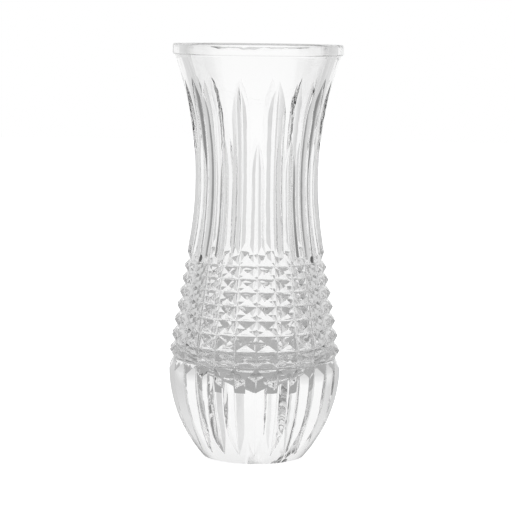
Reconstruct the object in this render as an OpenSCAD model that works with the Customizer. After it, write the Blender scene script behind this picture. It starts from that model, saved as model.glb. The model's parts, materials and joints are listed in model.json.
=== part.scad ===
// Cut crystal flower vase.
// A waisted vase with a smooth collar at the mouth, tall and short V-cut flutes down the
// neck, a belt of cut diamonds on the shoulder and V-cut flutes down the rounded bowl.
// Millimetres. +Z is up. The origin is the centre of the flat foot, on the table.
// The vase is one piece of glass. Each module is one zone of that glass, named for the
// way it is cut, and the zones meet face to face on level planes.

/* [Overall size] */
// Height from the table to the top of the collar
vase_h = 203; // [196:1:210]
// Outer radius of the collar round the mouth
rim_r = 41.7; // [40:0.1:45]
// Outer radius at the waist, over the crests of the flutes
waist_r = 30.2; // [28.5:0.1:32]
// Level of the waist, the narrowest place, as a share of the height
waist_level = 0.677; // [0.64:0.005:0.7]
// Outer radius at the belly, over the crests of the flutes
belly_r = 42.3; // [40:0.1:44]
// Level of the belly, the widest place of the bowl, as a share of the height
belly_level = 0.224; // [0.2:0.002:0.235]
// How much of the side between waist and belly is curved, where the rest is straight
side_bend = 0.75; // [0.5:0.01:0.95]
// Share of that bend that rounds the belly, where the rest hollows the neck
belly_bend = 0.33; // [0.2:0.01:0.5]
// Radius of the flat foot
foot_r = 24.8; // [21:0.1:28]

/* [Mouth] */
// Height of the smooth collar
rim_h = 5.7; // [4:0.1:8]
// How far the collar stands out past the throat below it
collar_step = 1.2; // [0.5:0.1:1.6]
// Rounding of the collar's outer top edge
rim_round = 1.4; // [0.6:0.1:2]
// Rounding of the inner edge of the mouth
lip_round = 1.2; // [0.8:0.1:2.4]

/* [Glass] */
// Thickness of the glass at the collar
rim_wall = 7; // [5.5:0.1:9]
// Thickness of the glass at the waist, from crest to bore
waist_wall = 6; // [5:0.1:8]
// Thickness of the glass at the belly, from crest to bore
belly_wall = 7.5; // [6:0.1:10]
// Thickness of the solid glass under the inner floor
floor_t = 35; // [26:1:38]
// Radius of the flat middle of the inner floor
floor_flat_r = 7; // [4:1:18]
// Height over which the bore rounds in to the inner floor
floor_round = 20; // [10:1:26]

/* [Cuts] */
// Number of flutes round the vase, an even number because tall and short alternate
columns = 24; // [20:2:28]
// Number of rows of diamonds in the belt
rows = 7; // [5:1:9]
// Level of the lowest level cut of the belt, as a share of the height
belt_bottom_level = 0.243; // [0.236:0.001:0.26]
// Level of the highest level cut of the belt, as a share of the height
belt_top_level = 0.48; // [0.44:0.005:0.5]
// Depth of a cut divided by half its width, which is the slope of the cutting wheel
wheel_slope = 0.46; // [0.36:0.01:0.52]
// Flat left along a crest between two flutes
crest_w = 0.6; // [0.4:0.1:1]
// How much taller the lowest diamond is than the highest one
row_growth = 1.27; // [1:0.01:1.4]

/* [Flute ends] */
// Height of the plain throat between the collar and the tips of the tall flutes
throat_h = 11.8; // [8:0.1:20]
// How far the tips of the short flutes lie below those of the tall ones
tip_stagger = 28; // [20:0.5:34]
// Length over which a flute tapers to its tip
tip_run = 20; // [14:1:22]
// Share of the space between two valleys that the tall flute takes
tall_share = 0.56; // [0.5:0.01:0.6]
// Height at which the bowl flutes run out, above the plain foot
foot_h = 4.5; // [3.5:0.5:7]
// Length over which the bowl flutes run out towards the foot
foot_run = 16; // [10:1:22]

/* [Hidden] */
// Glass colour
crystal = [0.93, 0.95, 0.96, 0.55];
// Smoothness of the true round surfaces
$fn = 96;
// Steps that share out the side curves
curve_steps = 12;
// Width that a flute keeps just at its tip, so that its faces stay distinct
tip_w = 0.5;
// How far a cutting solid runs past the glass
past = 1;
// Height of the plain glass between the tallest tip and the throat
tip_margin = 1;
// Rise over which the tall flutes widen to their full share above the belt
share_run = 20;

// Heights that follow from the overall height.
waist_z = waist_level * vase_h;
belly_z = belly_level * vase_h;
belt_bottom_z = belt_bottom_level * vase_h;
belt_top_z = belt_top_level * vase_h;
throat_top_z = vase_h - rim_h;
tall_tip_z = throat_top_z - throat_h;
short_tip_z = tall_tip_z - tip_stagger;
bore_turn_z = floor_t + floor_round;
throat_bottom_z = tall_tip_z + tip_margin;

// Radii that follow from the outline.
throat_top_r = rim_r - collar_step;
bore_rim_r = rim_r - rim_wall;
neck_arc_r = arc_through(throat_top_r - waist_r, throat_top_z - waist_z);
bowl_arc_r = arc_through(belly_r - foot_r, belly_z);
col_angle = 360 / columns;

// The side from the waist to the belly: a hollow arc, a straight taper and a round arc.
side_h = waist_z - belly_z;
side_w = belly_r - waist_r;
bend_sum = side_bend * arc_through(side_w, side_h);
belly_arc_r = bend_sum * belly_bend;
hip_arc_r = bend_sum - belly_arc_r;
taper_reach = sqrt(pow(side_h, 2) + pow(bend_sum - side_w, 2));
taper_angle = atan(side_h / (bend_sum - side_w)) - acos(bend_sum / taper_reach);
taper_low_z = belly_z + belly_arc_r * sin(taper_angle);
taper_low_r = belly_r - belly_arc_r * (1 - cos(taper_angle));
taper_high_z = waist_z - hip_arc_r * sin(taper_angle);

// Radius of the arc that leaves the upright and moves in by drop over run.
function arc_through(drop, run) = (run * run + drop * drop) / (2 * drop);

// How far an arc has moved in after run.
function arc_drop(rad, run) = rad - sqrt(rad * rad - run * run);

// Outer radius over the crests at height z.
function crest_r(z) =
    z >= waist_z ? waist_r + arc_drop(neck_arc_r, z - waist_z)
    : z >= taper_high_z ? waist_r + arc_drop(hip_arc_r, waist_z - z)
    : z >= taper_low_z ? taper_low_r - (z - taper_low_z) * tan(taper_angle)
    : z >= belly_z ? belly_r - arc_drop(belly_arc_r, z - belly_z)
    : belly_r - arc_drop(bowl_arc_r, belly_z - z);

// Distance round the crests from one flute's valley to the next.
function column_w(z) = 2 * PI * crest_r(z) / columns;

// Depth of a cut that takes its full half of a column.
function full_cut(z) = wheel_slope * (column_w(z) - crest_w) / 2;

// Thickness of the glass at height z, from crest to bore, above the rounding to the floor.
function wall_t(z) =
    z >= waist_z
    ? waist_wall + (throat_wall() - waist_wall) * pow((z - waist_z) / (throat_top_z - waist_z), 2)
    : waist_wall + (belly_wall - waist_wall) * min(1, (waist_z - z) / (waist_z - belly_z));

// Thickness of the glass at the top of the throat, just under the collar.
function throat_wall() = throat_top_r - bore_rim_r;

// Radius of the bore at height z: it follows the crests, then a quarter of a cosine wave
// rounds it in to the floor.
function bore_r(z) =
    z >= throat_top_z ? bore_rim_r
    : z >= bore_turn_z ? crest_r(z) - wall_t(z)
    : floor_flat_r + (crest_r(z) - wall_t(z) - floor_flat_r)
        * cos(90 * (bore_turn_z - z) / floor_round);

// Share of its full size that a flute has at height z, below its tip.
function tip_fade(z, tip) =
    z >= tip ? 0
    : z <= tip - tip_run ? 1
    : 1 - pow((z - tip + tip_run) / tip_run, 2);

// Share of its full size that a bowl flute has at height z, above the foot.
function foot_fade(z) =
    z <= foot_h ? 0
    : z >= foot_h + foot_run ? 1
    : 1 - pow((foot_h + foot_run - z) / foot_run, 2);

// Share of a column that the tall flute takes at height z.
function tall_part(z) =
    0.5 + (tall_share - 0.5) * min(1, max(0, (z - belt_top_z) / share_run));

// Half width of a flute that takes part of a column, tapered by fade.
function half_w(z, part, fade) = max(tip_w / 2, fade * (part * column_w(z) - crest_w / 2));

// Angle that a width round the crests covers.
function width_angle(z, w) = w / crest_r(z) * 180 / PI;

// Heights of the level cuts of the belt, whose spacing grows steadily downwards.
row_unit = (belt_top_z - belt_bottom_z) / (rows * (1 + row_growth) / 2);
function cut_z(k) =
    belt_top_z - row_unit * (k + (row_growth - 1) * k * (k - 1) / 2 / (rows - 1));

// Closed solid with level ends. Each ring is [z, [[angle, depth below the crest], ...]].
// Each square of the skin is split along its higher diagonal, so that crests stay sharp.
module cut_solid(rings) {
    n = len(rings[0][1]);
    skin = [for (ring = rings) for (p = ring[1])
        [(crest_r(ring[0]) - p[1]) * cos(p[0]), (crest_r(ring[0]) - p[1]) * sin(p[0]), ring[0]]];
    depth = [for (ring = rings) for (p = ring[1]) p[1]];
    top = (len(rings) - 1) * n;
    sides = [for (k = [0 : len(rings) - 2]) for (i = [0 : n - 1])
        let (a = k * n + i, b = k * n + (i + 1) % n, c = b + n, d = a + n)
        each (depth[a] + depth[c] <= depth[b] + depth[d]
            ? [[a, d, c], [a, c, b]]
            : [[a, d, b], [d, c, b]])];
    polyhedron(
        points = skin,
        faces = concat([[for (i = [0 : n - 1]) i]], sides, [[for (i = [n - 1 : -1 : 0]) top + i]])
    );
}

// Ring of the neck at height z: short valley, tall valley and the crests between them.
function neck_ring(z, level) =
    let (
        tall = half_w(z, tall_part(z), tip_fade(z, tall_tip_z)),
        short = half_w(z, 1 - tall_part(z), tip_fade(z, short_tip_z)),
        tall_cut = level ? full_cut(z) : wheel_slope * tall * sign(tip_fade(z, tall_tip_z)),
        short_cut = level ? full_cut(z) : wheel_slope * short * sign(tip_fade(z, short_tip_z)),
        crest_cut = level ? full_cut(z) : 0,
        s = width_angle(z, short),
        t = width_angle(z, tall),
        mid = (s + col_angle - t) / 2
    )
    [z, [for (i = [0 : columns / 2 - 1]) let (a = 2 * i * col_angle) each [
        [a, short_cut],
        [a + s, crest_cut],
        [a + mid, crest_cut],
        [a + col_angle - t, crest_cut],
        [a + col_angle, tall_cut],
        [a + col_angle + t, crest_cut],
        [a + 2 * col_angle - mid, crest_cut],
        [a + 2 * col_angle - s, crest_cut]
    ]]];

// Ring of the bowl at height z: valley, crest edges and the middle of the crest.
function bowl_ring(z, level) =
    let (
        half = half_w(z, 0.5, foot_fade(z)),
        cut = level ? full_cut(z) : wheel_slope * half * sign(foot_fade(z)),
        crest_cut = level ? full_cut(z) : 0,
        s = width_angle(z, half)
    )
    [z, [for (i = [0 : columns - 1]) let (a = i * col_angle) each [
        [a, cut],
        [a + s, crest_cut],
        [a + col_angle / 2, crest_cut],
        [a + col_angle - s, crest_cut]
    ]]];

// Ring of the belt at height z: valley and crest, or a level cut right round.
function belt_ring(z, level) =
    [z, [for (i = [0 : columns - 1]) let (a = i * col_angle) each [
        [a, full_cut(z)],
        [a + col_angle / 2, level ? full_cut(z) : 0]
    ]]];

// Heights that share a stretch evenly, both ends included.
function spread(low, high, steps) = [for (i = [0 : steps]) low + (high - low) * i / steps];

// The hollow of the vase, from the inner floor to past the mouth.
module hollow() {
    floor_curve = [for (z = spread(floor_t, bore_turn_z, curve_steps)) [bore_r(z), z]];
    side_curve = [for (z = spread(bore_turn_z, throat_top_z, 2 * curve_steps)) [bore_r(z), z]];
    lip_curve = [for (a = [180 : -15 : 90])
        [bore_rim_r + lip_round + lip_round * cos(a), vase_h - lip_round + lip_round * sin(a)]];
    rotate_extrude()
        polygon(concat(
            [[0, floor_t]],
            floor_curve,
            [for (i = [1 : len(side_curve) - 1]) side_curve[i]],
            lip_curve,
            [[bore_rim_r + lip_round, vase_h + past], [0, vase_h + past]]
        ));
}

// Solid of revolution under the crest curve between two heights.
module crest_solid(low, high, steps) {
    rotate_extrude()
        polygon(concat(
            [[0, low]],
            [for (z = spread(low, high, steps)) [crest_r(z), z]],
            [[0, high]]
        ));
}

// Smooth collar with rounded edges round the mouth.
module rim_collar() {
    under_curve = [for (a = [-90 : 15 : 0])
        [throat_top_r + collar_step * cos(a), throat_top_z + collar_step + collar_step * sin(a)]];
    top_curve = [for (a = [0 : 15 : 90])
        [rim_r - rim_round + rim_round * cos(a), vase_h - rim_round + rim_round * sin(a)]];
    color(crystal)
        difference() {
            rotate_extrude()
                polygon(concat([[0, throat_top_z]], under_curve, top_curve, [[0, vase_h]]));
            hollow();
        }
}

// Plain glass between the collar and the tips of the tall flutes.
module throat() {
    color(crystal)
        difference() {
            crest_solid(throat_bottom_z, throat_top_z, curve_steps / 2);
            hollow();
        }
}

// Neck with tall and short flutes in turn, down to the highest level cut of the belt.
module fluted_neck() {
    pillar_end_z = belt_top_z + full_cut(belt_top_z) / wheel_slope;
    heights = concat(
        spread(pillar_end_z, short_tip_z - tip_run, 5),
        [for (f = [0.3, 0.6, 0.8, 1]) short_tip_z - tip_run * (1 - f)],
        [for (f = [0.3, 0.55, 0.75, 0.9, 1]) tall_tip_z - tip_run * (1 - f)],
        [throat_bottom_z]
    );
    color(crystal)
        difference() {
            cut_solid(concat(
                [neck_ring(belt_top_z, true)],
                [for (z = heights) neck_ring(z, false)]
            ));
            hollow();
        }
}

// Belt of four-sided diamonds, left standing between level cuts and upright cuts.
module diamond_belt() {
    color(crystal)
        difference() {
            cut_solid([for (k = [2 * rows : -1 : 0])
                k % 2 == 0
                ? belt_ring(cut_z(k / 2), true)
                : belt_ring((cut_z((k - 1) / 2) + cut_z((k + 1) / 2)) / 2, false)]);
            hollow();
        }
}

// Rounded bowl with flutes that run out above the foot, and the thick floor inside.
module fluted_bowl() {
    pillar_end_z = belt_bottom_z - full_cut(belt_bottom_z) / wheel_slope;
    heights = concat(
        [for (f = [0, 0.15, 0.35, 0.6, 1]) foot_h + foot_run * f],
        [for (i = [1 : 5]) foot_h + foot_run + (pillar_end_z - foot_h - foot_run) * i / 5]
    );
    color(crystal)
        difference() {
            cut_solid(concat(
                [for (z = heights) bowl_ring(z, false)],
                [bowl_ring(belt_bottom_z, true)]
            ));
            hollow();
        }
}

// Plain ground foot that the vase stands on.
module foot() {
    color(crystal)
        crest_solid(0, foot_h, curve_steps / 3);
}

rim_collar();
throat();
fluted_neck();
diamond_belt();
fluted_bowl();
foot();
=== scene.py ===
"""Cut crystal flower vase, drawn as one closed body of clear glass.

The vase is worked out as one grid of rings. The outer skin climbs from the foot to the
collar, turns over the lip and comes down the bore to the inner floor. Flutes and diamonds
are cuts below the crest curve, and each cut's valley has the small rounding that a
cutting wheel leaves.
"""

import json
import logging
import math
from dataclasses import dataclass
from enum import Enum

import bpy
import numpy as np
from mathutils import Matrix, Vector

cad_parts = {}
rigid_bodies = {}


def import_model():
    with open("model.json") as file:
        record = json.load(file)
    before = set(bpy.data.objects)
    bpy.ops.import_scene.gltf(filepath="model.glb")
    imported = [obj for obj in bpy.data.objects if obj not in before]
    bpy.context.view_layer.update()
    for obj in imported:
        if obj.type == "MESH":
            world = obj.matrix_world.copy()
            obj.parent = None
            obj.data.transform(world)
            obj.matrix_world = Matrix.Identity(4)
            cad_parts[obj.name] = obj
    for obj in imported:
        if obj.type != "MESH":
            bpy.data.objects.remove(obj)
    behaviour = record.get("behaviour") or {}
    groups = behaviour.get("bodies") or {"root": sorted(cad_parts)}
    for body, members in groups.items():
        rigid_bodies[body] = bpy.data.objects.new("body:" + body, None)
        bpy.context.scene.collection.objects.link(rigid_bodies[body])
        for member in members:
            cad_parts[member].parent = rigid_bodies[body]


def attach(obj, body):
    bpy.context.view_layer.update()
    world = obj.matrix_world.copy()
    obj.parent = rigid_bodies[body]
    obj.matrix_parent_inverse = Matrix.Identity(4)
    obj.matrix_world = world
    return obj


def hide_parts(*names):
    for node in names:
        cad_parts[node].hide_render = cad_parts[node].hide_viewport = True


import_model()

LOG = logging.getLogger("vase")
MM = 0.001
NODES = ("rim_collar", "throat", "fluted_neck", "diamond_belt", "fluted_bowl", "foot")


def srgb(code: str) -> tuple[float, float, float, float]:
    """Linear colour of an sRGB hex code.

    Args:
        code: six hex digits, with or without a leading #.

    Returns:
        Red, green, blue and an alpha of 1, each from 0 to 1.
    """
    digits = code.lstrip("#")
    parts = [int(digits[i : i + 2], 16) / 255 for i in (0, 2, 4)]
    linear = [c / 12.92 if c <= 0.04045 else ((c + 0.055) / 1.055) ** 2.4 for c in parts]
    return (linear[0], linear[1], linear[2], 1.0)


def add_node(
    tree: bpy.types.NodeTree,
    kind: str,
    settings: dict | None = None,
    links: dict | None = None,
) -> bpy.types.Node:
    """Add one shader node with its settings and its incoming links.

    Args:
        tree: node tree that gets the node.
        kind: Blender's name for the node type.
        settings: values for properties or, where there is no such property, for inputs.
        links: input name or number to the output socket that feeds it.

    Returns:
        The new node.
    """
    node = tree.nodes.new(kind)
    for name, value in (settings or {}).items():
        if isinstance(name, str) and hasattr(node, name):
            setattr(node, name, value)
        else:
            node.inputs[name].default_value = value
    for name, socket in (links or {}).items():
        tree.links.new(socket, node.inputs[name])
    return node


def add_grade(
    tree: bpy.types.NodeTree,
    value: bpy.types.NodeSocket,
    stops: tuple[tuple[float, float], ...],
) -> bpy.types.NodeSocket:
    """Add a grey level that runs in straight lines between stops.

    Args:
        tree: node tree that gets the ramp.
        value: output socket with the place along the ramp.
        stops: place and level of each stop, rising. The places may have any unit.

    Returns:
        The output socket with the level.
    """
    reach = stops[-1][0]
    share = add_node(tree, "ShaderNodeMath", {"operation": "DIVIDE", 1: reach}, {0: value})
    ramp = add_node(tree, "ShaderNodeValToRGB", links={0: share.outputs[0]})
    marks = ramp.color_ramp.elements
    for i, (place, level) in enumerate(stops):
        mark = marks[i] if i < 2 else marks.new(place / reach)
        mark.position = place / reach
        mark.color = (level, level, level, 1.0)
    return ramp.outputs[0]


@dataclass(frozen=True)
class VaseSizes:
    """Real sizes of the vase in millimetres, the same as those of the CAD part."""

    height: float = 203.0
    rim_r: float = 41.7
    waist_r: float = 30.2
    waist_level: float = 0.677
    belly_r: float = 42.3
    belly_level: float = 0.224
    side_bend: float = 0.75
    belly_bend: float = 0.33
    foot_r: float = 24.8
    rim_h: float = 5.7
    collar_step: float = 1.2
    rim_round: float = 1.4
    lip_round: float = 1.2
    rim_wall: float = 7.0
    waist_wall: float = 6.0
    belly_wall: float = 7.5
    floor_t: float = 35.0
    floor_flat_r: float = 7.0
    floor_round: float = 20.0
    columns: int = 24
    rows: int = 7
    belt_bottom_level: float = 0.243
    belt_top_level: float = 0.48
    wheel_slope: float = 0.46
    crest_w: float = 0.6
    row_growth: float = 1.27
    throat_h: float = 11.8
    tip_stagger: float = 28.0
    tip_run: float = 20.0
    tall_share: float = 0.56
    share_run: float = 20.0
    foot_h: float = 4.5
    foot_run: float = 16.0
    tip_w: float = 0.5

    @property
    def waist_z(self) -> float:
        """Height of the waist."""
        return self.waist_level * self.height

    @property
    def bore_turn_z(self) -> float:
        """Height at which the bore starts to round in to its floor."""
        return self.floor_t + self.floor_round

    @property
    def belly_z(self) -> float:
        """Height of the belly."""
        return self.belly_level * self.height

    @property
    def belt_bottom_z(self) -> float:
        """Height of the belt's lowest level cut."""
        return self.belt_bottom_level * self.height

    @property
    def belt_top_z(self) -> float:
        """Height of the belt's highest level cut."""
        return self.belt_top_level * self.height

    @property
    def throat_top_z(self) -> float:
        """Height of the collar's underside."""
        return self.height - self.rim_h

    @property
    def tall_tip_z(self) -> float:
        """Height of the tips of the tall flutes."""
        return self.throat_top_z - self.throat_h

    @property
    def short_tip_z(self) -> float:
        """Height of the tips of the short flutes."""
        return self.tall_tip_z - self.tip_stagger


class SideCurve:
    """Side view of the vase: the curve over its crests and the curve of its bore."""

    def __init__(self, sizes: VaseSizes) -> None:
        s = self.sizes = sizes
        self.throat_top_r = s.rim_r - s.collar_step
        self.bore_rim_r = s.rim_r - s.rim_wall
        self.neck_arc_r = self._arc(self.throat_top_r - s.waist_r, s.throat_top_z - s.waist_z)
        self.bowl_arc_r = self._arc(s.belly_r - s.foot_r, s.belly_z)
        rise = s.waist_z - s.belly_z
        out = s.belly_r - s.waist_r
        bend = s.side_bend * self._arc(out, rise)
        self.belly_arc_r = bend * s.belly_bend
        self.hip_arc_r = bend - self.belly_arc_r
        self.tilt = math.atan2(rise, bend - out) - math.acos(bend / math.hypot(rise, bend - out))
        self.taper_low_z = s.belly_z + self.belly_arc_r * math.sin(self.tilt)
        self.taper_low_r = s.belly_r - self.belly_arc_r * (1 - math.cos(self.tilt))
        self.taper_high_z = s.waist_z - self.hip_arc_r * math.sin(self.tilt)

    @staticmethod
    def _arc(drop: float, run: float) -> float:
        """Radius of the arc that leaves the upright and moves in by drop over run."""
        return (run * run + drop * drop) / (2 * drop)

    def crest(self, z: np.ndarray) -> np.ndarray:
        """Outer radius over the crests.

        Formula: arcs above and below the waist, a straight taper that is tangent to the
        lower one, an arc down to the belly, and one arc from the belly to the foot.

        Args:
            z: heights in mm.

        Returns:
            Radii in mm.
        """
        s = self.sizes
        z = np.asarray(z, float)

        def drop(radius: float, run: np.ndarray) -> np.ndarray:
            return radius - np.sqrt(np.maximum(radius**2 - run**2, 0.0))

        neck = s.waist_r + drop(self.neck_arc_r, z - s.waist_z)
        taper = self.taper_low_r - (z - self.taper_low_z) * math.tan(self.tilt)
        hip = s.waist_r + drop(self.hip_arc_r, s.waist_z - z)
        shoulder = s.belly_r - drop(self.belly_arc_r, z - s.belly_z)
        bowl = s.belly_r - drop(self.bowl_arc_r, s.belly_z - z)
        return np.select(
            [z >= s.waist_z, z >= self.taper_high_z, z >= self.taper_low_z, z >= s.belly_z],
            [neck, hip, taper, shoulder],
            bowl,
        )

    def bore(self, z: np.ndarray) -> np.ndarray:
        """Radius of the bore.

        Formula: the crest curve less a wall that thickens away from the waist, and below
        the turn a quarter of a cosine wave in to the flat of the floor.

        Args:
            z: heights in mm, none below the floor.

        Returns:
            Radii in mm.
        """
        s = self.sizes
        z = np.asarray(z, float)
        top_wall = self.throat_top_r - self.bore_rim_r
        up = (z - s.waist_z) / (s.throat_top_z - s.waist_z)
        down = np.clip((s.waist_z - z) / (s.waist_z - s.belly_z), 0.0, 1.0)
        wall = np.where(
            z >= s.waist_z,
            s.waist_wall + (top_wall - s.waist_wall) * up**2,
            s.waist_wall + (s.belly_wall - s.waist_wall) * down,
        )
        lower = np.clip((s.bore_turn_z - z) / s.floor_round, 0.0, 1.0)
        straight = self.crest(z) - wall
        corner = (straight - s.floor_flat_r) * (1 - np.cos(lower * math.pi / 2))
        return np.where(z >= s.throat_top_z, self.bore_rim_r, straight - corner)

    def column(self, z: np.ndarray) -> np.ndarray:
        """Distance round the crests from one valley to the next, in mm."""
        return 2 * math.pi * self.crest(z) / self.sizes.columns

    def full_cut(self, z: np.ndarray) -> np.ndarray:
        """Depth in mm of a cut that takes its full half of a column."""
        return self.sizes.wheel_slope * (self.column(z) - self.sizes.crest_w) / 2


class Zone(Enum):
    """Ways in which a level of the outer skin is cut."""

    PLAIN = "plain"
    NECK = "neck"
    BELT = "belt"
    BOWL = "bowl"


class CrystalBody:
    """The whole glass body as one closed mesh."""

    # Share of a flute's half width, from its valley, at which the wheel's rounding ends.
    VALLEY_ROUND = 0.10
    # Places across half a flute, from its valley to its edge, and across half a crest.
    FACE_STEPS = np.array([0.0, 0.5 * VALLEY_ROUND, VALLEY_ROUND, 0.5, 1.0])
    CREST_STEPS = np.array([0.5, 1.0])
    # Places of the rings along a bowl flute's run out and along a neck flute's tip.
    RUN_OUT_STEPS = np.array([0, 0.03, 0.08, 0.15, 0.25, 0.35, 0.5, 0.65, 0.8, 1.0])
    TIP_STEPS = np.array([0.1, 0.2, 0.3, 0.4, 0.5, 0.6, 0.7, 0.8, 0.88, 0.95, 1.0])
    # Dihedral angle above which an edge stays sharp.
    SHARP = math.radians(15)

    def __init__(self, sizes: VaseSizes) -> None:
        self.sizes = sizes
        self.side = SideCurve(sizes)

    def cut_shape(self, t: np.ndarray) -> np.ndarray:
        """Depth across a cut, as a share of its full depth.

        Formula: falls in a straight line from 1 at the valley to 0 at the edge, with the
        valley rounded by the parabola that meets that line at VALLEY_ROUND.

        Args:
            t: distance from the valley divided by the cut's half width.

        Returns:
            Shares from 0 to 1.
        """
        r = self.VALLEY_ROUND
        t = np.abs(t)
        return np.clip(np.where(t < r, 1 - (t * t + r * r) / (2 * r), 1 - t), 0.0, 1.0)

    def tip_fade(self, z: np.ndarray, tip: float) -> np.ndarray:
        """Share of its full size that a neck flute has: a parabola that ends at the tip."""
        run = self.sizes.tip_run
        return 1 - np.clip((z - tip + run) / run, 0.0, 1.0) ** 2

    def foot_fade(self, z: np.ndarray) -> np.ndarray:
        """Share of its full size that a bowl flute has: a parabola that ends at the foot."""
        s = self.sizes
        return 1 - np.clip((s.foot_h + s.foot_run - z) / s.foot_run, 0.0, 1.0) ** 2

    def levels(self) -> tuple[np.ndarray, np.ndarray, list[Zone]]:
        """Heights of the outer skin's rings, upwards.

        Returns:
            Heights in mm, the level cut's share of its depth at each, and each one's zone.
        """
        s = self.sizes
        flank = 1 - self.crest_share()
        face = self.FACE_STEPS * flank
        land = 1 - self.crest_share() * (1 - self.CREST_STEPS)
        half = np.concatenate([face, land])
        across = self.cut_shape(half / flank)
        heights: list[float] = []
        cuts: list[float] = []
        zones: list[Zone] = []

        def add(z_values: np.ndarray, cut_values: np.ndarray, zone: Zone) -> None:
            heights.extend(float(z) for z in z_values)
            cuts.extend(float(c) for c in cut_values)
            zones.extend([zone] * len(heights[len(zones):]))

        run_out = s.foot_h + s.foot_run
        low_end = s.belt_bottom_z - float(self.side.column(s.belt_bottom_z)) / 2
        high_end = s.belt_top_z + float(self.side.column(s.belt_top_z)) / 2
        foot = np.array([0.0, 0.5, 1.0]) * s.foot_h
        add(foot[:-1], np.zeros(2), Zone.PLAIN)
        fade = s.foot_h + s.foot_run * self.RUN_OUT_STEPS
        add(fade, np.zeros(len(fade)), Zone.BOWL)
        bowl = np.linspace(run_out, low_end, 12)[1:-1]
        add(bowl, np.zeros(len(bowl)), Zone.BOWL)
        add(s.belt_bottom_z - (s.belt_bottom_z - low_end) * half[:0:-1], across[:0:-1], Zone.BOWL)
        bounds = self.row_bounds()
        for low, high in zip(bounds[:-1], bounds[1:]):
            mid = (low + high) / 2
            add(low + (mid - low) * half, across, Zone.BELT)
            add(high - (high - mid) * half[-2:0:-1], across[-2:0:-1], Zone.BELT)
        add(s.belt_top_z + (high_end - s.belt_top_z) * half, across, Zone.NECK)
        neck = np.linspace(high_end, s.short_tip_z - s.tip_run, 14)[1:]
        add(neck, np.zeros(len(neck)), Zone.NECK)
        tips = self.TIP_STEPS
        add(s.short_tip_z - s.tip_run * (1 - tips), np.zeros(len(tips)), Zone.NECK)
        gap = np.linspace(s.short_tip_z, s.tall_tip_z - s.tip_run, 4)[1:]
        add(gap, np.zeros(len(gap)), Zone.NECK)
        add(s.tall_tip_z - s.tip_run * (1 - tips), np.zeros(len(tips)), Zone.NECK)
        throat = np.linspace(s.tall_tip_z, s.throat_top_z, 8)[1:]
        add(throat, np.zeros(len(throat)), Zone.PLAIN)
        return np.array(heights), np.array(cuts), zones

    def crest_share(self) -> float:
        """Share of a column's half that the flat of a crest takes, at the middle of the belt."""
        s = self.sizes
        return s.crest_w / float(self.side.column((s.belt_bottom_z + s.belt_top_z) / 2))

    def row_bounds(self) -> np.ndarray:
        """Heights of the level cuts, upwards, spaced so that the rows grow steadily downwards."""
        s = self.sizes
        unit = (s.belt_top_z - s.belt_bottom_z) / (s.rows * (1 + s.row_growth) / 2)
        k = np.arange(s.rows + 1)
        down = unit * (k + (s.row_growth - 1) * k * (k - 1) / 2 / (s.rows - 1))
        return (s.belt_top_z - down)[::-1]

    def outer_rings(self) -> tuple[np.ndarray, np.ndarray, np.ndarray, np.ndarray]:
        """Outer skin below the collar.

        Formula: radius = crest curve - the deeper of the upright cut and the level cut.
        An upright cut's edges draw in to its valley towards its tip.

        Returns:
            Angle, radius, height and depth of cut of each point, as levels by points.
        """
        s, side = self.sizes, self.side
        z, level_cut, zones = self.levels()
        crest, column, full = side.crest(z), side.column(z), side.full_cut(z)
        upper = np.array([zone in (Zone.NECK, Zone.PLAIN) for zone in zones])
        neck = upper & (z > s.belt_top_z)
        rise = np.clip((z - s.belt_top_z) / s.share_run, 0.0, 1.0)
        tall_part = np.where(neck, 0.5 + (s.tall_share - 0.5) * rise, 0.5)
        tall_fade = np.where(neck, self.tip_fade(z, s.tall_tip_z), self.foot_fade(z))
        short_fade = np.where(neck, self.tip_fade(z, s.short_tip_z), self.foot_fade(z))
        step = 2 * math.pi / s.columns
        half_w, depth = [], []
        for part, fade in ((1 - tall_part, short_fade), (tall_part, tall_fade)):
            width = fade * (part * column - s.crest_w / 2)
            half_w.append(np.maximum(width, s.tip_w / 2) / crest)
            depth.append(s.wheel_slope * width)
        middle = (half_w[0] + step - half_w[1]) / 2
        shape = self.cut_shape(self.FACE_STEPS)
        angles, cuts = [], []
        for w, d, end in ((half_w[0], depth[0], middle), (half_w[1], depth[1], step - middle)):
            face = w[:, None] * self.FACE_STEPS
            land = w[:, None] + (end - w)[:, None] * self.CREST_STEPS
            angles.append(np.concatenate([face, land], axis=1))
            cuts.append(np.concatenate([d[:, None] * shape, np.zeros_like(land)], axis=1))
        short_up, tall_up = angles[0], angles[1]
        tall_down = step - tall_up[:, -2::-1]
        tall_on = step + tall_up[:, 1:]
        short_down = 2 * step - short_up[:, -2:0:-1]
        pair = np.concatenate([short_up, tall_down, tall_on, short_down], axis=1)
        pair_cut = np.concatenate(
            [cuts[0], cuts[1][:, -2::-1], cuts[1][:, 1:], cuts[0][:, -2:0:-1]], axis=1
        )
        turns = np.arange(s.columns // 2) * 2 * step
        theta = (pair[:, None, :] + turns[None, :, None]).reshape(len(z), -1)
        cut = np.tile(pair_cut, (1, s.columns // 2))
        cut = np.maximum(cut, (full * level_cut)[:, None])
        radius = crest[:, None] - cut
        return theta, radius, np.repeat(z[:, None], theta.shape[1], axis=1), cut

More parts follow.
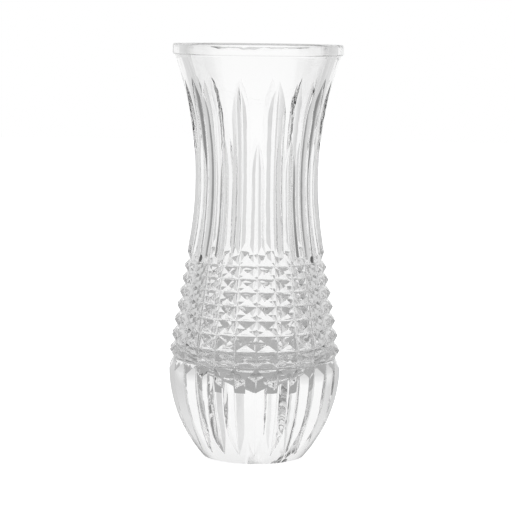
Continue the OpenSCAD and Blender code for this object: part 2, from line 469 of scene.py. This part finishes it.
    def collar_and_bore(self) -> tuple[np.ndarray, np.ndarray]:
        """Profile from the throat over the collar and down the bore to the inner floor.

        Formula: quarter circles round the collar's three edges, then the bore curve.

        Returns:
            Radii and heights in mm, in order.
        """
        s, side = self.sizes, self.side
        quarter = np.radians(np.linspace(0, 90, 9))
        step, rnd, lip = s.collar_step, s.rim_round, s.lip_round
        sine, fall = np.sin(quarter), 1 - np.cos(quarter)
        under = (side.throat_top_r + step * sine, s.throat_top_z + step * fall)
        outer = (s.rim_r - rnd * fall, s.height - rnd * (1 - sine))
        inner = (side.bore_rim_r + lip * (1 - sine), s.height - lip * fall)
        wall_z = np.linspace(s.throat_top_z, s.bore_turn_z, 40)
        wall = (side.bore(wall_z), wall_z)
        bowl_z = np.linspace(s.bore_turn_z, s.floor_t, 31)[1:]
        bowl = (side.bore(bowl_z), bowl_z)
        flat_r = bowl[0][-1] * np.array([0.75, 0.5, 0.25])
        flat = (flat_r, np.full(3, s.floor_t))
        parts = (under, outer, inner, wall, bowl, flat)
        return tuple(np.concatenate([p[i] for p in parts]) for i in (0, 1))

    def build(self) -> bpy.types.Object:
        """Make the mesh object.

        Formula: rings joined level to level, each square split along the diagonal that
        lies higher, and a fan to the middle of the foot and of the inner floor.

        Returns:
            The glass body, in metres, with its place in its mesh.
        """
        theta, radius, height, cut = self.outer_rings()
        more_r, more_z = self.collar_and_bore()
        top_theta = np.repeat(theta[-1:], len(more_r), axis=0)
        theta = np.concatenate([theta, top_theta])
        radius = np.concatenate([radius, np.repeat(more_r[:, None], theta.shape[1], axis=1)])
        height = np.concatenate([height, np.repeat(more_z[:, None], theta.shape[1], axis=1)])
        cut = np.concatenate([cut, np.zeros((len(more_r), theta.shape[1]))])
        levels, count = theta.shape
        points = np.stack([radius * np.cos(theta), radius * np.sin(theta), height], axis=-1)
        points = points.reshape(-1, 3)
        low_pole = len(points)
        points = np.concatenate([points, [[0, 0, 0], [0, 0, self.sizes.floor_t]]]) * MM
        index = np.arange(levels * count).reshape(levels, count)
        a = index[:-1]
        b = np.roll(index, -1, axis=1)[:-1]
        c = np.roll(index, -1, axis=1)[1:]
        d = index[1:]
        flat_cut = cut.reshape(-1)
        first = flat_cut[a] + flat_cut[c] <= flat_cut[b] + flat_cut[d]
        one = np.where(first[..., None], np.stack([a, b, c], -1), np.stack([a, b, d], -1))
        two = np.where(first[..., None], np.stack([a, c, d], -1), np.stack([b, c, d], -1))
        bottom = np.stack([np.roll(index[0], -1), index[0], np.full(count, low_pole)], -1)
        top = np.stack([index[-1], np.roll(index[-1], -1), np.full(count, low_pole + 1)], -1)
        faces = np.concatenate([one.reshape(-1, 3), two.reshape(-1, 3), bottom, top])
        mesh = bpy.data.meshes.new("crystal_body")
        mesh.from_pydata(points.tolist(), [], faces.tolist())
        mesh.polygons.foreach_set("use_smooth", np.ones(len(faces), bool))
        mesh.set_sharp_from_angle(angle=self.SHARP)
        mesh.update()
        body = bpy.data.objects.new("crystal_body", mesh)
        bpy.context.scene.collection.objects.link(body)
        LOG.info("crystal_body: %d points, %d triangles", len(points), len(faces))
        return body


@dataclass(frozen=True)
class LeadCrystal:
    """Polished lead crystal.

    It gives the eye clear, colourless glass with sharp bright facets, whose cuts show as
    greys and darks because they bend in light from other parts of the room.
    """

    ior: float = 1.545
    tint: str = "FFFFFF"
    roughness: float = 0.0
    # Length and depth in mm of the slow waves that hand polishing leaves.
    wave: float = 7.0
    wave_depth: float = 0.06

    def make(self) -> bpy.types.Material:
        """Build the material."""
        material = bpy.data.materials.new("polished_lead_crystal")
        material.use_nodes = True
        tree = material.node_tree
        tree.nodes.clear()
        coord = add_node(tree, "ShaderNodeTexCoord")
        waves = add_node(
            tree,
            "ShaderNodeTexNoise",
            {"Scale": 1 / (self.wave * MM), "Detail": 1.0},
            {"Vector": coord.outputs["Object"]},
        )
        bump = add_node(
            tree, "ShaderNodeBump", {"Distance": self.wave_depth * MM}, {"Height": waves.outputs[0]}
        )
        shader = add_node(
            tree,
            "ShaderNodeBsdfPrincipled",
            {
                "Base Color": srgb(self.tint),
                "Roughness": self.roughness,
                "IOR": self.ior,
                "Transmission Weight": 1.0,
            },
            {"Normal": bump.outputs[0]},
        )
        add_node(tree, "ShaderNodeOutputMaterial", links={"Surface": shader.outputs[0]})
        return material


@dataclass(frozen=True)
class Studio:
    """Pale floor, graded room and the camera. Sizes are in metres and angles in degrees."""

    floor_size: float = 6.0
    lens: float = 145.67
    distance: float = 1.0201
    camera_z: float = 0.2085
    pitch: float = 6.17
    roll: float = 0.731
    yaw: float = -0.0523
    turn: float = -1.4
    floor_gap: float = 0.0002
    floor_colour: str = "F0F0F0"
    floor_lift: float = 0.7
    # Level of the room by degrees away from the middle of the backdrop: the white backdrop,
    # pale walls, a black flag on each side and the white wall behind the camera.
    room: tuple[tuple[float, float], ...] = (
        (0, 1.0), (20, 1.0), (28, 0.82), (50, 0.75), (60, 0.7),
        (67, 0.08), (100, 0.08), (108, 0.8), (140, 1.0), (180, 1.0),
    )
    # Painted shade of the table in the same directions: white towards the backdrop, darkest towards
    # the black flags.
    painted_table_shade_round: tuple[tuple[float, float], ...] = (
        (0, 1.0), (20, 1.0), (28, 0.7), (60, 0.66),
        (67, 0.26), (100, 0.26), (108, 0.7), (140, 0.85), (180, 0.85),
    )
    # Upward part of the direction over which the table's levels give way to the room's.
    horizon: float = 0.25
    # Painted shade of the table by metres away from the vase: grey near it, white far out.
    painted_table_shade_out: tuple[tuple[float, float], ...] = (
        (0.0, 0.36), (0.15, 0.42), (0.3, 0.64), (0.5, 0.86), (0.7, 1.0),
    )
    # Level by the upward part of the direction, from level to straight up.
    ceiling: tuple[tuple[float, float], ...] = ((0, 1.0), (0.6, 0.95), (0.85, 0.8), (1, 0.7))
    # Level of the room for light that lands on rough surfaces.
    lamp_level: float = 0.8

    def floor(self) -> None:
        """Lay the pale floor: white card to the camera, painted shade to all other rays."""
        half = self.floor_size / 2
        mesh = bpy.data.meshes.new("floor")
        z = -self.floor_gap
        corners = [(-half, -half, z), (half, -half, z), (half, half, z), (-half, half, z)]
        mesh.from_pydata(corners, [], [(0, 1, 2, 3)])
        floor = bpy.data.objects.new("floor", mesh)
        bpy.context.scene.collection.objects.link(floor)
        material = bpy.data.materials.new("white_card_and_painted_shade")
        material.use_nodes = True
        tree = material.node_tree
        tree.nodes.clear()
        coord = add_node(tree, "ShaderNodeTexCoord")
        # Painted shade: for every ray but the camera's, the floor glows at the lower of two painted
        # levels. It is grey near the vase, darkest towards the black flags and white far out.
        far = add_node(
            tree, "ShaderNodeVectorMath", {"operation": "LENGTH"}, {0: coord.outputs["Object"]}
        )
        painted_shade_by_distance = add_grade(tree, far.outputs["Value"], self.painted_table_shade_out)
        level = add_node(
            tree,
            "ShaderNodeMath",
            {"operation": "MINIMUM"},
            {0: painted_shade_by_distance, 1: self.round_grade(tree, coord.outputs["Object"], self.painted_table_shade_round)},
        )
        card = add_node(tree, "ShaderNodeBsdfDiffuse", {"Color": srgb(self.floor_colour)})
        lift = add_node(tree, "ShaderNodeEmission", {"Strength": self.floor_lift})
        seen = add_node(tree, "ShaderNodeAddShader", links={0: card.outputs[0], 1: lift.outputs[0]})
        painted_shade_glow = add_node(tree, "ShaderNodeEmission", links={"Strength": level.outputs[0]})
        path = add_node(tree, "ShaderNodeLightPath")
        mix = add_node(
            tree,
            "ShaderNodeMixShader",
            links={0: path.outputs["Is Camera Ray"], 1: painted_shade_glow.outputs[0], 2: seen.outputs[0]},
        )
        add_node(tree, "ShaderNodeOutputMaterial", links={"Surface": mix.outputs[0]})
        mesh.materials.append(material)
        LOG.info("floor: %.1f m square", self.floor_size)

    @staticmethod
    def round_grade(
        tree: bpy.types.NodeTree,
        vector: bpy.types.NodeSocket,
        stops: tuple[tuple[float, float], ...],
    ) -> bpy.types.NodeSocket:
        """Level by the direction round the vase.

        Formula: the angle between the vector's plan view and +Y, the same on both sides.

        Args:
            tree: node tree that gets the nodes.
            vector: output socket with a direction or a place.
            stops: degrees from +Y and level of each stop, from 0 to 180.

        Returns:
            The output socket with the level.
        """
        split = add_node(tree, "ShaderNodeSeparateXYZ", links={0: vector})
        turn = add_node(
            tree,
            "ShaderNodeMath",
            {"operation": "ARCTAN2"},
            {0: split.outputs[0], 1: split.outputs[1]},
        )
        width = add_node(tree, "ShaderNodeMath", {"operation": "ABSOLUTE"}, {0: turn.outputs[0]})
        degrees = add_node(tree, "ShaderNodeMath", {"operation": "DEGREES"}, {0: width.outputs[0]})
        return add_grade(tree, degrees.outputs[0], stops)

    def world(self) -> None:
        """Set the levels of the room.

        Formula: the camera sees 1. Light that left the glass or a gloss sees the room's
        level, blended from the table's painted shade over the horizon and times the ceiling's.
        All other light has the level of the lamps.
        """
        world = bpy.data.worlds.new("studio")
        bpy.context.scene.world = world
        world.use_nodes = True
        tree = world.node_tree
        tree.nodes.clear()
        kind = "ShaderNodeMath"
        coord = add_node(tree, "ShaderNodeTexCoord")
        way = coord.outputs["Generated"]
        split = add_node(tree, "ShaderNodeSeparateXYZ", links={0: way})
        up = add_grade(tree, split.outputs[2], self.ceiling)
        # Below the horizon the room has the table's painted shade by direction, darkest towards the
        # black flags.
        low = self.round_grade(tree, way, self.painted_table_shade_round)
        high = self.round_grade(tree, way, self.room)
        lift = add_node(tree, kind, {"operation": "DIVIDE", 1: self.horizon}, {0: split.outputs[2]})
        share = add_node(tree, kind, {"operation": "MINIMUM", 1: 1.0}, {0: lift.outputs[0]})
        apart = add_node(tree, kind, {"operation": "SUBTRACT"}, {0: high, 1: low})
        around = add_node(
            tree,
            kind,
            {"operation": "MULTIPLY_ADD"},
            {0: apart.outputs[0], 1: share.outputs[0], 2: low},
        )
        level = add_node(tree, kind, {"operation": "MULTIPLY"}, {0: around.outputs[0], 1: up})
        path = add_node(tree, "ShaderNodeLightPath")
        seen = add_node(
            tree,
            kind,
            {"operation": "MAXIMUM"},
            {0: path.outputs["Is Glossy Ray"], 1: path.outputs["Is Transmission Ray"]},
        )
        room = add_node(
            tree, kind, {"operation": "MULTIPLY"}, {0: level.outputs[0], 1: seen.outputs[0]}
        )
        rest = add_node(tree, kind, {"operation": "SUBTRACT", 0: 1.0}, {1: seen.outputs[0]})
        lamp = add_node(
            tree, kind, {"operation": "MULTIPLY", 1: self.lamp_level}, {0: rest.outputs[0]}
        )
        both = add_node(tree, kind, {"operation": "ADD"}, {0: room.outputs[0], 1: lamp.outputs[0]})
        strength = add_node(
            tree,
            kind,
            {"operation": "MAXIMUM"},
            {0: both.outputs[0], 1: path.outputs["Is Camera Ray"]},
        )
        shade = add_node(
            tree,
            "ShaderNodeBackground",
            {"Color": srgb("FFFFFF")},
            {"Strength": strength.outputs[0]},
        )
        add_node(tree, "ShaderNodeOutputWorld", links={"Surface": shade.outputs[0]})

    def camera(self) -> None:
        """Place the camera."""
        data = bpy.data.cameras.new("camera")
        data.lens = self.lens
        camera = bpy.data.objects.new("camera", data)
        bpy.context.scene.collection.objects.link(camera)
        turn = math.radians(self.turn)
        across = math.sin(turn) * self.distance
        back = -math.cos(turn) * self.distance
        place = Vector((across, back, self.camera_z))
        basis = (
            Matrix.Rotation(turn + math.radians(self.yaw), 4, "Z")
            @ Matrix.Rotation(math.radians(90 - self.pitch), 4, "X")
            @ Matrix.Rotation(math.radians(self.roll), 4, "Z")
        )
        camera.matrix_world = Matrix.Translation(place) @ basis
        bpy.context.scene.camera = camera


def main() -> None:
    """Build the vase and its studio."""
    logging.basicConfig(level=logging.INFO)
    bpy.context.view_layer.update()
    body = CrystalBody(VaseSizes()).build()
    body.data.materials.append(LeadCrystal().make())
    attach(body, "root")
    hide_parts(*NODES)
    studio = Studio()
    studio.floor()
    studio.world()
    studio.camera()
    bpy.context.scene.view_settings.view_transform = "Standard"
    cycles = bpy.context.scene.cycles
    cycles.max_bounces = 32
    cycles.transmission_bounces = 32
    cycles.glossy_bounces = 16


if __name__ == "__main__":
    main()
